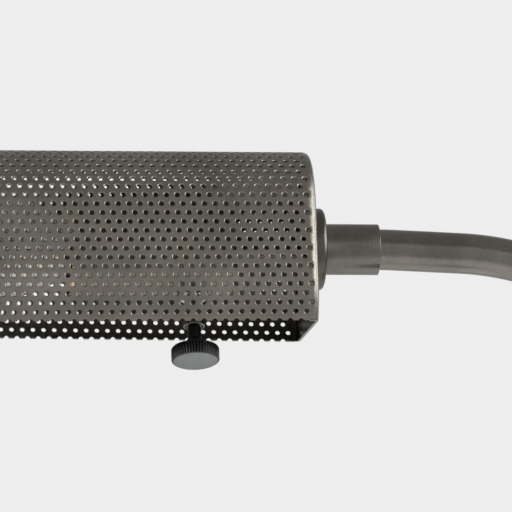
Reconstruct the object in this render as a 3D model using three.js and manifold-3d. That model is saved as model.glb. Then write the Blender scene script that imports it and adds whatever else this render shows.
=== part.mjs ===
// A task lamp. A round weighted base carries a bent tube arm, and the arm's end carries a long
// shade of arched section, open below, with a lampholder, a bulb and a turn switch inside.
// Millimetres. The origin is the centre of the base's underside. +Z is up, +X points from the
// shade towards the post, and the switch knob leans towards -Y, which is the lamp's front.

import * as THREE from 'three';
import { mergeVertices } from 'three/addons/utils/BufferGeometryUtils.js';
import Module from 'manifold-3d';

const wasm = await Module();
wasm.setup();

// Clearances that the whole lamp shares.
const fitGap = 0.3;
const overrun = 2;
const weldDistance = 0.0005;

// Facets round a full turn, by the size of the round.
const smallFacets = 20;
const mediumFacets = 32;
const largeFacets = 64;
const glassFacets = 24;
const crownFacets = 22;
const hemFacets = 5;
const edgeFacets = 3;

// Shade: a round crown runs tangent into two flat sides, and each side into a hem that turns in.
const shadeLength = 229;
const crownRadius = 33.5;
const sideRun = 33.4;
const hemRadius = 40;
const springAngle = THREE.MathUtils.degToRad(11.7);
const crownAboveAxis = 45.3;
const mouthBelowAxis = 38.4;
const sheetWall = 1;

// Grid of openings in the sheet: counts along and round the arch, and the open share of a cell.
const openingsAlong = 12;
const openingsAround = 10;
const openingLengthShare = 0.83;
const openingWidthShare = 0.25;

// Shade end caps.
const capWall = 1.2;
const capEdgeRadius = 3.2;
const capBand = 2.3;
const capFlangeDepth = 4.5;

// Hub disc and arm sleeve, between the shade and the arm.
const hubDiscDiameter = 38.1;
const hubDiscThickness = 6.5;
const hubDiscEdgeRadius = 2;
const sleeveDiameter = 23.7;
const sleeveLength = 25.4;
const sleeveFloor = 4;
const sleeveChamfer = 0.5;

// Hollow threaded nipple through the hub, with its nuts and washer.
const nippleDiameter = 9.6;
const nippleBore = 6.6;
const nippleSpare = 1.5;
const lockNutAcross = 16;
const lockNutThickness = 4;
const stopNutAcross = 14;
const stopNutThickness = 4;
const springWasherDiameter = 17;
const springWasherThickness = 0.6;
const springWasherDish = 0.5;

// Arm tube: level in the sleeve, a slight droop, then one long bend into the upright post.
const tubeDiameter = 19.05;
const tubeWall = 1.2;
const tubeSeat = 12.5;
const axisHeight = 440;
const droopAngle = THREE.MathUtils.degToRad(2.5);
const droopRadius = 200;
const droopRun = 30;
const bendRadius = 140;
const droopSteps = 2;
const bendSteps = 20;
const setScrewDiameter = 3;

// Husk round the lampholder, and the spacer that holds it off the end cap.
const huskOffset = 35;
const huskLength = 77;
const huskDiameter = 45;
const huskWall = 0.8;
const huskEdgeRadius = 4;
const spacerDiameter = 13;
const huskNutThickness = 4;

// Turn switch: block, bush, spindle and knob. Distances along it start at the arm's axis.
const switchOffset = 55;
const switchLean = THREE.MathUtils.degToRad(15);
const switchBlockLength = 24.5;
const bushDiameter = 8;
const bushBore = 4.8;
const bushEnd = 39.4;
const bushDepth = 8;
const bushCollarDiameter = 10;
const bushCollarLength = 2.4;
const ringNutAcross = 13;
const ringNutThickness = 2.5;
const spindleDiameter = 3.6;
const spindleDepth = 15;
const knobNeckDiameter = 6.2;
const knobFlareStart = 44.5;
const knobFlareDiameter = 12;
const knobHeadStart = 50;
const knobHeadDiameter = 22.3;
const knobHeadLength = 6.7;
const knobShoulder = 0.8;
const knurlCount = 50;
const knurlDepth = 0.5;
const knobBoreEnd = 55;

// Lampholder: porcelain cup, screw shell and centre contact.
const cupDiameter = 37;
const cupLength = 35;
const cupFloor = 4;
const shellDiameter = 28.4;
const shellWall = 0.6;
const shellLength = 27.5;
const contactDiameter = 8;
const contactThickness = 1.6;

// Bulb. Heights along it start at the bottom of its contact.
const bulbLength = 89;
const bulbDiameter = 48;
const bulbTipDiameter = 9.5;
const bulbTipThickness = 1.8;
const bulbCapDiameter = 26.2;
const bulbCapWall = 0.5;
const bulbCapShoulder = 7;
const bulbCapLength = 25;
const bulbNeckSeat = 4;
const bulbNeckStraight = 1.5;
const glassWall = 0.8;
const glassFlareFacets = 6;
const stemDiameter = 5;
const stemFootThickness = 1.5;
const stemLength = 34;

// Base: felt pad, cast weight and spun cover.
const baseDiameter = 203;
const coverWall = 1.2;
const coverEdgeRadius = 6;
const coverLift = 0.8;
const padThickness = 2;
const weightThickness = 13;
const weightEdge = 5;
const nutRecessDiameter = 36;
const nutRecessDepth = 8;
const collarDiameter = 32;
const collarHeight = 8;
const collarEdge = 1.5;
const studDiameter = 10;
const studBore = 6;
const studPlugLength = 22;
const postWasherDiameter = 24;
const postWasherThickness = 1.6;
const postNutAcross = 17;
const postNutThickness = 5;

// Cord inlet: a bushed hole in the cover's rim and a channel under the weight.
const inletHeight = 8.4;
const grommetBore = 6.4;
const grommetDiameter = 9.4;
const grommetFlange = 12.4;
const grommetFlangeThickness = 1.5;
const grommetTail = 2.2;
const channelWidth = 12;

// Places that follow from the sizes above.
const hubDiscFace = fitGap + hubDiscThickness;
const sleeveStart = hubDiscFace + fitGap;
const sleeveEnd = sleeveStart + sleeveLength;
const sleeveFloorEnd = sleeveStart + sleeveFloor;
const springWasherStart = sleeveFloorEnd + fitGap;
const springWasherEnd = springWasherStart + springWasherDish + springWasherThickness;
const stopNutStart = springWasherEnd + fitGap;
const nippleOuterEnd = stopNutStart + stopNutThickness + nippleSpare;
const tubeStart = sleeveEnd - tubeSeat;
const huskInside = huskOffset + huskWall + fitGap;
const nippleInnerEnd = huskInside + huskNutThickness + nippleSpare;
const nippleClearBore = nippleDiameter / 2 + fitGap;
const blockRadius = huskDiameter / 2 - huskWall - fitGap;
const blockStart = nippleInnerEnd + nippleSpare;
const cupStart = blockStart + switchBlockLength + fitGap;
const cupFloorEnd = cupStart + cupFloor;
const bulbStart = cupFloorEnd + fitGap + contactThickness + fitGap;
const weightBottom = padThickness + fitGap;
const weightTop = weightBottom + weightThickness;
const coverTop = weightTop + fitGap + coverWall;
const collarBottom = coverTop + fitGap;
const droopEnd = new THREE.Vector2(
  sleeveEnd + droopRadius * Math.sin(droopAngle) + droopRun * Math.cos(droopAngle),
  -droopRadius * (1 - Math.cos(droopAngle)) - droopRun * Math.sin(droopAngle),
);
const armReach = droopEnd.x + bendRadius * (1 - Math.sin(droopAngle));

// Closed bodies

function signedVolume(geometry) {
  const place = geometry.attributes.position;
  const corners = geometry.index.array;
  const a = new THREE.Vector3();
  const b = new THREE.Vector3();
  const c = new THREE.Vector3();
  let sum = 0;
  for (let i = 0; i < corners.length; i += 3) {
    a.fromBufferAttribute(place, corners[i]);
    b.fromBufferAttribute(place, corners[i + 1]);
    c.fromBufferAttribute(place, corners[i + 2]);
    sum += a.dot(b.cross(c));
  }
  return sum;
}

// Welds a geometry into one closed body: shared vertices, no collapsed faces, faces pointing out.
function closed(geometry) {
  geometry.deleteAttribute('normal');
  geometry.deleteAttribute('uv');
  const welded = mergeVertices(geometry, weldDistance);
  const corners = welded.index.array;
  const kept = [];
  for (let i = 0; i < corners.length; i += 3) {
    const [a, b, c] = [corners[i], corners[i + 1], corners[i + 2]];
    if (a !== b && b !== c && c !== a) kept.push(a, b, c);
  }
  welded.setIndex(kept);
  if (signedVolume(welded) < 0) welded.setIndex(kept.reverse());
  return welded;
}

function solidOf(geometry) {
  const body = closed(geometry);
  return new wasm.Manifold(new wasm.Mesh({
    numProp: 3,
    vertProperties: new Float32Array(body.attributes.position.array),
    triVerts: new Uint32Array(body.index.array),
  }));
}

function geometryOf(solid) {
  const mesh = solid.getMesh();
  const geometry = new THREE.BufferGeometry();
  geometry.setAttribute('position', new THREE.BufferAttribute(mesh.vertProperties, mesh.numProp));
  geometry.setIndex(new THREE.BufferAttribute(mesh.triVerts, 1));
  return geometry;
}

function joined(first, ...others) {
  return geometryOf(others.reduce((sum, other) => sum.add(solidOf(other)), solidOf(first)));
}

function cut(body, ...tools) {
  return geometryOf(tools.reduce((rest, tool) => rest.subtract(solidOf(tool)), solidOf(body)));
}

function shared(first, second) {
  return geometryOf(solidOf(first).intersect(solidOf(second)));
}

// Basic forms. All of them run along +Z; alongX turns +Z to +X, +X to +Y and +Y to +Z.

const turnToX = new THREE.Matrix4().makeBasis(
  new THREE.Vector3(0, 1, 0),
  new THREE.Vector3(0, 0, 1),
  new THREE.Vector3(1, 0, 0),
);

function alongX(geometry) {
  return geometry.applyMatrix4(turnToX);
}

// Turns a profile of [radius, height] points round the Z axis.
function turned(profile, facets) {
  const points = profile.map(([radius, height]) => new THREE.Vector2(radius, height));
  return closed(new THREE.LatheGeometry(points, facets).rotateX(Math.PI / 2));
}

// The same for a ring, whose profile closes on itself.
function turnedRing(profile, facets) {
  return turned([...profile, profile[0]], facets);
}

function ring(bore, outer, low, high, facets) {
  return turnedRing([[bore, low], [outer, low], [outer, high], [bore, high]], facets);
}

function rod(radius, low, high, facets) {
  return turned([[0, low], [radius, low], [radius, high], [0, high]], facets);
}

// Points of a quarter round of the given radius, from one angle to another.
function roundPoints(centreRadius, centreHeight, radius, from, to) {
  const points = [];
  for (let i = 0; i <= edgeFacets; i++) {
    const angle = from + (to - from) * i / edgeFacets;
    points.push([centreRadius + radius * Math.cos(angle), centreHeight + radius * Math.sin(angle)]);
  }
  return points;
}

function extruded(shape, low, high, curveSegments) {
  const geometry = new THREE.ExtrudeGeometry(shape, {
    depth: high - low,
    bevelEnabled: false,
    curveSegments,
  });
  return closed(geometry.translate(0, 0, low));
}

function hexNut(across, bore, low, high) {
  const cornerRadius = across / Math.sqrt(3);
  const corners = [];
  for (let i = 0; i < 6; i++) {
    const angle = i * Math.PI / 3;
    corners.push(new THREE.Vector2(cornerRadius * Math.cos(angle), cornerRadius * Math.sin(angle)));
  }
  const shape = new THREE.Shape(corners);
  shape.holes.push(new THREE.Path().absarc(0, 0, bore, 0, 2 * Math.PI, true));
  return extruded(shape, low, high, smallFacets / 2);
}

function boxBetween(low, high) {
  const size = high.clone().sub(low);
  const middle = low.clone().add(high).multiplyScalar(0.5);
  return new THREE.BoxGeometry(size.x, size.y, size.z).translate(middle.x, middle.y, middle.z);
}

// Shade section. Its plane is (depth, height): depth along +Y, height along +Z from the arm's axis.

const crownCentre = crownAboveAxis - crownRadius;
const hemShift = crownRadius - hemRadius;
const hemCentreDepth = hemShift * Math.cos(springAngle) + sideRun * Math.sin(springAngle);
const hemCentreHeight = crownCentre + hemShift * Math.sin(springAngle) - sideRun * Math.cos(springAngle);

// Adds the arch to a path, drawn in by inset and ending at the given height, from +Y to -Y or back.
// The path joins the arcs with straight lines, which are the flat sides.
function addArch(path, inset, bottom, backwards) {
  const hem = hemRadius - inset;
  const mouthAngle = Math.asin((bottom - hemCentreHeight) / hem);
  const arcs = [
    [hemCentreDepth, hemCentreHeight, hem, mouthAngle, springAngle],
    [0, crownCentre, crownRadius - inset, springAngle, Math.PI - springAngle],
    [-hemCentreDepth, hemCentreHeight, hem, Math.PI - springAngle, Math.PI - mouthAngle],
  ];
  if (backwards) {
    arcs.reverse();
    for (const [x, y, radius, from, to] of arcs) path.absarc(x, y, radius, to, from, true);
  } else {
    for (const [x, y, radius, from, to] of arcs) path.absarc(x, y, radius, from, to, false);
  }
  return path;
}

// The points of a path: many on the crown, few on the hems, only the ends of a straight line.
function archPoints(path) {
  const points = [];
  for (const curve of path.curves) {
    const isCrown = curve.isEllipseCurve && curve.aX === 0;
    const facets = curve.isEllipseCurve ? (isCrown ? crownFacets : hemFacets) : 1;
    for (const point of curve.getPoints(facets)) {
      const last = points[points.length - 1];
      if (!last || last.distanceTo(point) > weldDistance) points.push(point);
    }
  }
  return points;
}

function filledArch(inset, bottom) {
  return new THREE.Shape(archPoints(addArch(new THREE.Path(), inset, bottom, false)));
}

// One box for each opening of the sheet, set square to the wall in the middle of the opening's cell.
function openingCutters(start, end) {
  const arch = addArch(new THREE.Path(), sheetWall / 2, -mouthBelowAxis, false);
  const cellLength = (end - start) / openingsAlong;
  const cellWidth = arch.getLength() / openingsAround;
  const openingLength = cellLength * openingLengthShare;
  const openingWidth = cellWidth * openingWidthShare;
  const cutters = [];
  for (let row = 0; row < openingsAround; row++) {
    const share = (2 * row + 1) / (2 * openingsAround);
    const middle = arch.getPoint(share);
    const run = arch.getTangent(share);
    const lie = new THREE.Matrix4().makeBasis(
      new THREE.Vector3(1, 0, 0),
      new THREE.Vector3(0, run.x, run.y),
      new THREE.Vector3(0, -run.y, run.x),
    );
    for (let column = 0; column < openingsAlong; column++) {
      const box = new THREE.BoxGeometry(openingLength, openingWidth, 2 * overrun);
      lie.setPosition(start + cellLength * (column + 1 / 2), middle.x, middle.y);
      cutters.push(box.applyMatrix4(lie));
    }
  }
  return cutters;
}

function shadeShell() {
  const outline = addArch(new THREE.Path(), 0, -mouthBelowAxis, false);
  addArch(outline, sheetWall, -mouthBelowAxis, true);
  const start = -(shadeLength - capBand - fitGap);
  const end = -(capBand + fitGap);
  const sheet = alongX(extruded(new THREE.Shape(archPoints(outline)), start, end, 1));
  return cut(sheet, ...openingCutters(start, end));
}

// A cap for the shade's +X end, with its outer face at 0: a dished plate whose flange lies inside
// the sheet. Everything below the shade's mouth is trimmed off.
function endCap() {
  const below = -mouthBelowAxis - 2 * capEdgeRadius;
  const flangeInset = sheetWall + fitGap;
  const plate = new THREE.ExtrudeGeometry(filledArch(0, below), {
    depth: capFlangeDepth,
    bevelThickness: capEdgeRadius,
    bevelSize: capEdgeRadius,
    bevelOffset: -capEdgeRadius,
    bevelSegments: edgeFacets,
    curveSegments: 1,
  }).translate(0, 0, -capFlangeDepth - capEdgeRadius);
  const reach = crownAboveAxis + crownRadius;
  const keptBand = boxBetween(
    new THREE.Vector3(-capBand, -reach, -reach),
    new THREE.Vector3(overrun, reach, reach),
  );
  const keptAboveMouth = boxBetween(
    new THREE.Vector3(-capFlangeDepth - overrun, -reach, -mouthBelowAxis),
    new THREE.Vector3(overrun, reach, reach),
  );
  const rim = shared(alongX(plate), keptBand);
  const flange = alongX(extruded(filledArch(flangeInset, below), -capFlangeDepth, -capBand / 2, 1));
  const hollow = filledArch(flangeInset + capWall, below - overrun);
  const pocket = alongX(extruded(hollow, -capFlangeDepth - overrun, -capWall, 1));
  return shared(cut(joined(rim, flange), pocket), keptAboveMouth);
}

function hubEndCap() {
  const bore = alongX(rod(nippleClearBore, -capWall - overrun, overrun, smallFacets));
  return cut(endCap(), bore);
}

// Hub, sleeve and nipple, all round the X axis

function hubDisc() {
  const outer = hubDiscDiameter / 2;
  const edge = hubDiscEdgeRadius;
  return alongX(turnedRing([
    [nippleClearBore, fitGap],
    [outer, fitGap],
    ...roundPoints(outer - edge, hubDiscFace - edge, edge, 0, Math.PI / 2),
    [nippleClearBore, hubDiscFace],
  ], mediumFacets));
}

function armSleeve() {
  const outer = sleeveDiameter / 2;
  const bore = tubeDiameter / 2 + fitGap;
  const body = alongX(turnedRing([
    [nippleClearBore, sleeveStart],
    [outer - sleeveChamfer, sleeveStart],
    [outer, sleeveStart + sleeveChamfer],
    [outer, sleeveEnd - sleeveChamfer],
    [outer - sleeveChamfer, sleeveEnd],
    [bore, sleeveEnd],
    [bore, sleeveFloorEnd],
    [nippleClearBore, sleeveFloorEnd],
  ], mediumFacets));
  const screwHole = rod(setScrewDiameter / 2 + fitGap, 0, outer + overrun, smallFacets)
    .rotateX(-Math.PI / 2)
    .translate(tubeStart + tubeSeat / 2, 0, 0);
  return cut(body, screwHole);
}

function armSetScrew() {
  return rod(setScrewDiameter / 2, tubeDiameter / 2 + fitGap, sleeveDiameter / 2, smallFacets)
    .rotateX(-Math.PI / 2)
    .translate(tubeStart + tubeSeat / 2, 0, 0);
}

function springWasher() {
  const outer = springWasherDiameter / 2;
  const top = springWasherStart + springWasherDish;
  return alongX(turnedRing([
    [nippleClearBore, springWasherStart],
    [outer, top],
    [outer, top + springWasherThickness],
    [nippleClearBore, springWasherStart + springWasherThickness],
  ], mediumFacets));
}

function headNipple() {
  return alongX(ring(nippleBore / 2, nippleDiameter / 2, -nippleInnerEnd, nippleOuterEnd, smallFacets));
}

function nippleNut(across, start, thickness) {
  return alongX(hexNut(across, nippleClearBore, start, start + thickness));
}

function spacerTube() {
  const start = capWall + fitGap + lockNutThickness + fitGap;
  return alongX(ring(nippleClearBore, spacerDiameter / 2, -huskOffset + fitGap, -start, smallFacets));
}

// The arm tube's centre line, with stations only where it turns. Its plane is X and Z.
class ArmLine extends THREE.Curve {
  constructor() {
    super();
    this.stations = [];
    this.addStation(tubeStart, 0, 0);
    this.addBend(sleeveEnd, 0, droopRadius, 0, droopAngle, droopSteps);
    this.addBend(droopEnd.x, droopEnd.y, bendRadius, droopAngle, Math.PI / 2, bendSteps);
    this.addStation(armReach, collarBottom - axisHeight, Math.PI / 2);
  }

  addStation(x, z, dip) {
    this.stations.push({
      point: new THREE.Vector3(x, 0, z),
      tangent: new THREE.Vector3(Math.cos(dip), 0, -Math.sin(dip)),
    });
  }

  // A bend that starts at the given place and turns down from one dip to another.
  addBend(x, z, radius, from, to, steps) {
    const centreX = x - radius * Math.sin(from);
    const centreZ = z - radius * Math.cos(from);
    for (let i = 0; i <= steps; i++) {
      const dip = from + (to - from) * i / steps;
      this.addStation(centreX + radius * Math.sin(dip), centreZ + radius * Math.cos(dip), dip);
    }
  }

  get steps() {
    return this.stations.length - 1;
  }

  getPointAt(share) {
    return this.stations[Math.round(share * this.steps)].point.clone();
  }

  getTangentAt(share) {
    return this.stations[Math.round(share * this.steps)].tangent.clone();
  }
}

function armTube() {
  const line = new ArmLine();
  const outer = tubeDiameter / 2;
  const section = new THREE.Shape().absarc(0, 0, outer, 0, 2 * Math.PI, false);
  section.holes.push(new THREE.Path().absarc(0, 0, outer - tubeWall, 0, 2 * Math.PI, true));
  return closed(new THREE.ExtrudeGeometry(section, {
    steps: line.steps,
    curveSegments: smallFacets / 2,
    extrudePath: line,
    bevelEnabled: false,
  }));
}

// Lampholder pieces. They run along +Z from the hub end cap into the shade.

function huskCup(switchPlace) {
  const outer = huskDiameter / 2;
  const edge = huskEdgeRadius;
  const inner = outer - huskWall;
  const innerEdge = edge - huskWall;
  const end = huskOffset + huskLength;
  const floor = huskOffset + huskWall;
  const body = turnedRing([
    [nippleClearBore, huskOffset],
    ...roundPoints(outer - edge, huskOffset + edge, edge, -Math.PI / 2, 0),
    [outer, end],
    [inner, end],
    ...roundPoints(inner - innerEdge, floor + innerEdge, innerEdge, 0, -Math.PI / 2),
    [nippleClearBore, floor],
  ], mediumFacets);
  const bushHole = rod(bushDiameter / 2 + fitGap, 0, outer + overrun, smallFacets);
  return cut(body, bushHole.applyMatrix4(switchPlace));
}

function switchBlock(switchPlace) {
  const body = rod(blockRadius, blockStart, blockStart + switchBlockLength, mediumFacets);
  const bushSeat = blockRadius - bushDepth;
  const bushHole = rod(bushDiameter / 2 + fitGap, bushSeat, huskDiameter, smallFacets);
  const spindleHole = rod(spindleDiameter / 2 + fitGap, bushSeat - spindleDepth, huskDiameter, smallFacets);
  return cut(body, bushHole.applyMatrix4(switchPlace), spindleHole.applyMatrix4(switchPlace));
}

function socketCup() {
  const bore = shellDiameter / 2 + fitGap;
  return turned([
    [0, cupStart],
    [cupDiameter / 2, cupStart],
    [cupDiameter / 2, cupStart + cupLength],
    [bore, cupStart + cupLength],
    [bore, cupFloorEnd],
    [0, cupFloorEnd],
  ], mediumFacets);
}

function screwShell() {
  const outer = shellDiameter / 2;
  const start = cupFloorEnd + fitGap;
  const hole = contactDiameter / 2 + fitGap;
  return turnedRing([
    [hole, start],
    [outer, start],
    [outer, start + shellLength],
    [outer - shellWall, start + shellLength],
    [outer - shellWall, start + shellWall],
    [hole, start + shellWall],
  ], mediumFacets);
}

function centreContact() {
  const start = cupFloorEnd + fitGap;
  return rod(contactDiameter / 2, start, start + contactThickness, smallFacets);
}

// Bulb pieces, along +Z from the bottom of the bulb's contact

function bulbTip() {
  return rod(bulbTipDiameter / 2, 0, bulbTipThickness, smallFacets);
}

function bulbCap() {
  const outer = bulbCapDiameter / 2;
  const inner = outer - bulbCapWall;
  const hole = bulbTipDiameter / 2 - bulbCapWall;
  const bottom = bulbTipThickness + fitGap;
  return turnedRing([
    [hole, bottom],
    [bulbTipDiameter / 2, bottom],
    [outer, bulbCapShoulder],
    [outer, bulbCapLength],
    [inner, bulbCapLength],
    [inner, bulbCapShoulder + bulbCapWall],
    [hole, bottom + 2 * bulbCapWall],
  ], mediumFacets);
}

const neckRadius = bulbCapDiameter / 2 - bulbCapWall - fitGap;
const neckStart = bulbCapLength - bulbNeckSeat;

// One face of the glass, drawn in by inset, from the neck's open end to the top.
function glassLine(inset) {
  const globe = bulbDiameter / 2 - inset;
  const globeCentre = bulbLength - bulbDiameter / 2;
  const flareStart = bulbCapLength + bulbNeckStraight;
  const points = [[neckRadius - inset, neckStart], [neckRadius - inset, flareStart]];
  for (let i = 1; i <= glassFlareFacets; i++) {
    const share = i / glassFlareFacets;
    const swell = Math.sin(share * Math.PI / 2) ** 2 * (1 - share / 2) + share ** 2 / 2;
    const radius = neckRadius - inset + (globe - neckRadius + inset) * swell;
    points.push([radius, flareStart + (globeCentre - flareStart) * share]);
  }
  for (let i = 1; i <= glassFlareFacets; i++) {
    const angle = i / glassFlareFacets * Math.PI / 2;
    const radius = i < glassFlareFacets ? globe * Math.cos(angle) : 0;
    points.push([radius, globeCentre + globe * Math.sin(angle)]);
  }
  return points;
}

function bulbGlass() {
  return turned([...glassLine(glassWall).reverse(), ...glassLine(0)], glassFacets);
}

function bulbStem() {
  const foot = neckRadius - glassWall - fitGap;
  const start = neckStart + stemFootThickness;
  return turned([
    [0, start],
    [foot, start],
    [foot, start + stemFootThickness],
    [stemDiameter / 2, start + foot],
    [stemDiameter / 2, start + stemLength],
    [0, start + stemLength + stemDiameter / 2],
  ], smallFacets);
}

// Switch pieces, along +Z from the arm's axis out through the shade's mouth

function switchBush() {
  const start = blockRadius - bushDepth + fitGap;
  return ring(bushBore / 2, bushDiameter / 2, start, bushEnd, smallFacets);
}

function huskRingNut() {
  const start = huskDiameter / 2 + fitGap;
  return hexNut(ringNutAcross, bushDiameter / 2 + fitGap, start, start + ringNutThickness);
}

function bushCollar() {
  const start = bushEnd - bushCollarLength;
  return ring(bushDiameter / 2 + fitGap, bushCollarDiameter / 2, start, bushEnd, smallFacets);
}

function switchSpindle() {
  const start = blockRadius - bushDepth - spindleDepth + fitGap;
  return rod(spindleDiameter / 2, start, knobBoreEnd - fitGap, smallFacets);
}

function knobKnurl() {
  const points = [];
  for (let i = 0; i < 2 * knurlCount; i++) {
    const angle = i * Math.PI / knurlCount;
    const radius = knobHeadDiameter / 2 - (i % 2) * knurlDepth;
    points.push(new THREE.Vector2(radius * Math.cos(angle), radius * Math.sin(angle)));
  }
  return extruded(new THREE.Shape(points), knobHeadStart + knobShoulder, knobHeadStart + knobHeadLength, 1);
}

function switchKnob() {
  const root = knobHeadDiameter / 2 - knurlDepth;
  const core = turned([
    [0, bushEnd + fitGap],
    [knobNeckDiameter / 2, bushEnd + fitGap],
    [knobNeckDiameter / 2, knobFlareStart],
    [knobFlareDiameter / 2, knobHeadStart],
    [root - knobShoulder, knobHeadStart],
    [root, knobHeadStart + knobShoulder],
    [root, knobHeadStart + knobHeadLength / 2],
    [0, knobHeadStart + knobHeadLength / 2],
  ], mediumFacets);
  const bore = rod(spindleDiameter / 2 + fitGap, 0, knobBoreEnd, smallFacets);
  return cut(joined(core, knobKnurl()), bore);
}

// Base pieces, along +Z from the table

function basePad() {
  return rod(baseDiameter / 2 - coverWall - fitGap, 0, padThickness, largeFacets);
}

function cordChannel(low, high) {
  return boxBetween(
    new THREE.Vector3(0, -channelWidth / 2, low),
    new THREE.Vector3(baseDiameter, channelWidth / 2, high),
  );
}

function baseWeight() {
  const outer = baseDiameter / 2 - coverWall - fitGap;
  const recess = nutRecessDiameter / 2;
  const bore = studDiameter / 2 + fitGap;
  const recessTop = weightBottom + nutRecessDepth;
  const body = turnedRing([
    [recess, weightBottom],
    [outer, weightBottom],
    [outer, weightTop - weightEdge],
    [outer - weightEdge, weightTop],
    [bore, weightTop],
    [bore, recessTop],
    [recess, recessTop],
  ], largeFacets);
  return cut(body, cordChannel(weightBottom - overrun, inletHeight + channelWidth / 2));
}

function baseCover() {
  const outer = baseDiameter / 2;
  const edge = coverEdgeRadius;
  const inner = outer - coverWall;
  const innerEdge = edge - coverWall;
  const innerTop = coverTop - coverWall;
  const bore = studDiameter / 2 + fitGap;
  const body = turnedRing([
    [inner, coverLift],
    [outer, coverLift],
    ...roundPoints(outer - edge, coverTop - edge, edge, 0, Math.PI / 2),
    [bore, coverTop],
    [bore, innerTop],
    ...roundPoints(inner - innerEdge, innerTop - innerEdge, innerEdge, Math.PI / 2, 0),
  ], largeFacets);
  const inlet = alongX(rod(grommetDiameter / 2 + fitGap, 0, baseDiameter, smallFacets))
    .translate(0, 0, inletHeight);
  return cut(body, inlet);
}

function cordGrommet() {
  const outer = baseDiameter / 2;
  const flangeStart = outer + fitGap;
  return alongX(turnedRing([
    [grommetBore / 2, outer - coverWall - grommetTail],
    [grommetDiameter / 2, outer - coverWall - grommetTail],
    [grommetDiameter / 2, flangeStart],
    [grommetFlange / 2, flangeStart],
    [grommetFlange / 2, flangeStart + grommetFlangeThickness / 2],
    [grommetDiameter / 2, flangeStart + grommetFlangeThickness],
    [grommetBore / 2, flangeStart + grommetFlangeThickness],
  ], smallFacets)).translate(0, 0, inletHeight);
}

function postCollar() {
  const outer = collarDiameter / 2;
  const bore = tubeDiameter / 2 + fitGap;
  const top = collarBottom + collarHeight;
  return turnedRing([
    [bore, collarBottom],
    [outer, collarBottom],
    ...roundPoints(outer - collarEdge, top - collarEdge, collarEdge, 0, Math.PI / 2),
    [bore, top],
  ], mediumFacets);
}

function postStud() {
  const plug = tubeDiameter / 2 - tubeWall - fitGap;
  const stud = studDiameter / 2;
  return turnedRing([
    [studBore / 2, weightBottom + fitGap],
    [stud, weightBottom + fitGap],
    [stud, collarBottom],
    [plug, collarBottom],
    [plug, collarBottom + studPlugLength],
    [studBore / 2, collarBottom + studPlugLength],
  ], smallFacets);
}

const postWasherTop = weightBottom + nutRecessDepth - fitGap;
const postNutTop = postWasherTop - postWasherThickness - fitGap;

function postWasher() {
  const bore = studDiameter / 2 + fitGap;
  const low = postWasherTop - postWasherThickness;
  return ring(bore, postWasherDiameter / 2, low, postWasherTop, smallFacets);
}

function postNut() {
  const bore = studDiameter / 2 + fitGap;
  return hexNut(postNutAcross, bore, postNutTop - postNutThickness, postNutTop);
}

// Colours and finishes

function finish(color, roughness, metalness) {
  return new THREE.MeshStandardMaterial({ color, roughness, metalness });
}

const gunmetal = finish(0x66635d, 0.45, 0.8);
const paleGunmetal = finish(0x7d7a74, 0.4, 0.8);
const darkMetal = finish(0x3b3b3a, 0.5, 0.8);
const plainSteel = finish(0x9a9a98, 0.4, 0.9);
const brass = finish(0xb08d4c, 0.35, 0.9);
const phenolic = finish(0x1c1a19, 0.6, 0);
const porcelain = finish(0xe8e4da, 0.3, 0);
const clearGlass = finish(0xe9eef0, 0.05, 0);
const castIron = finish(0x45474a, 0.8, 0.6);
const felt = finish(0x23231f, 1, 0);
const rubber = finish(0x191919, 0.9, 0);

function piece(name, geometry, material) {
  const mesh = new THREE.Mesh(geometry, material);
  mesh.name = name;
  return mesh;
}

// Assembly

const switchGroup = new THREE.Group();
switchGroup.position.set(0, 0, switchOffset);
switchGroup.rotation.set(0, -Math.PI / 2, switchLean, 'ZYX');
switchGroup.updateMatrix();
switchGroup.add(
  piece('switch_bushing', switchBush(), darkMetal),
  piece('husk_ring_nut', huskRingNut(), plainSteel),
  piece('bushing_collar', bushCollar(), plainSteel),
  piece('switch_spindle', switchSpindle(), plainSteel),
  piece('switch_knob', switchKnob(), darkMetal),
);

const bulbGroup = new THREE.Group();
bulbGroup.position.set(0, 0, bulbStart);
bulbGroup.add(
  piece('bulb_tip', bulbTip(), brass),
  piece('bulb_cap', bulbCap(), brass),
  piece('bulb_glass', bulbGlass(), clearGlass),
  piece('bulb_stem', bulbStem(), clearGlass),
);

const holderGroup = new THREE.Group();
holderGroup.rotation.y = -Math.PI / 2;
holderGroup.add(
  piece('socket_husk', huskCup(switchGroup.matrix), gunmetal),
  piece('switch_body', switchBlock(switchGroup.matrix), phenolic),
  piece('socket_cup', socketCup(), porcelain),
  piece('screw_shell', screwShell(), brass),
  piece('centre_contact', centreContact(), brass),
  switchGroup,
  bulbGroup,
);

const outerCap = piece('outer_end_cap', endCap(), paleGunmetal);
outerCap.position.x = -shadeLength;
outerCap.rotation.z = Math.PI;

const lockNutStart = capWall + fitGap + lockNutThickness;
const headGroup = new THREE.Group();
headGroup.add(
  piece('shade_shell', shadeShell(), gunmetal),
  piece('hub_end_cap', hubEndCap(), paleGunmetal),
  outerCap,
  piece('hub_disc', hubDisc(), gunmetal),
  piece('swivel_nipple', headNipple(), brass),
  piece('sleeve_stop_nut', nippleNut(stopNutAcross, stopNutStart, stopNutThickness), plainSteel),
  piece('cap_lock_nut', nippleNut(lockNutAcross, -lockNutStart, lockNutThickness), brass),
  piece('husk_nut', nippleNut(lockNutAcross, -huskInside - huskNutThickness, huskNutThickness), brass),
  piece('spacer_tube', spacerTube(), plainSteel),
  piece('sleeve_spring_washer', springWasher(), plainSteel),
  holderGroup,
);

const armGroup = new THREE.Group();
armGroup.add(
  piece('arm_sleeve', armSleeve(), paleGunmetal),
  piece('arm_set_screw', armSetScrew(), darkMetal),
  piece('arm_tube', armTube(), gunmetal),
);

const upperGroup = new THREE.Group();
upperGroup.position.set(-armReach, 0, axisHeight);
upperGroup.add(headGroup, armGroup);

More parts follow.
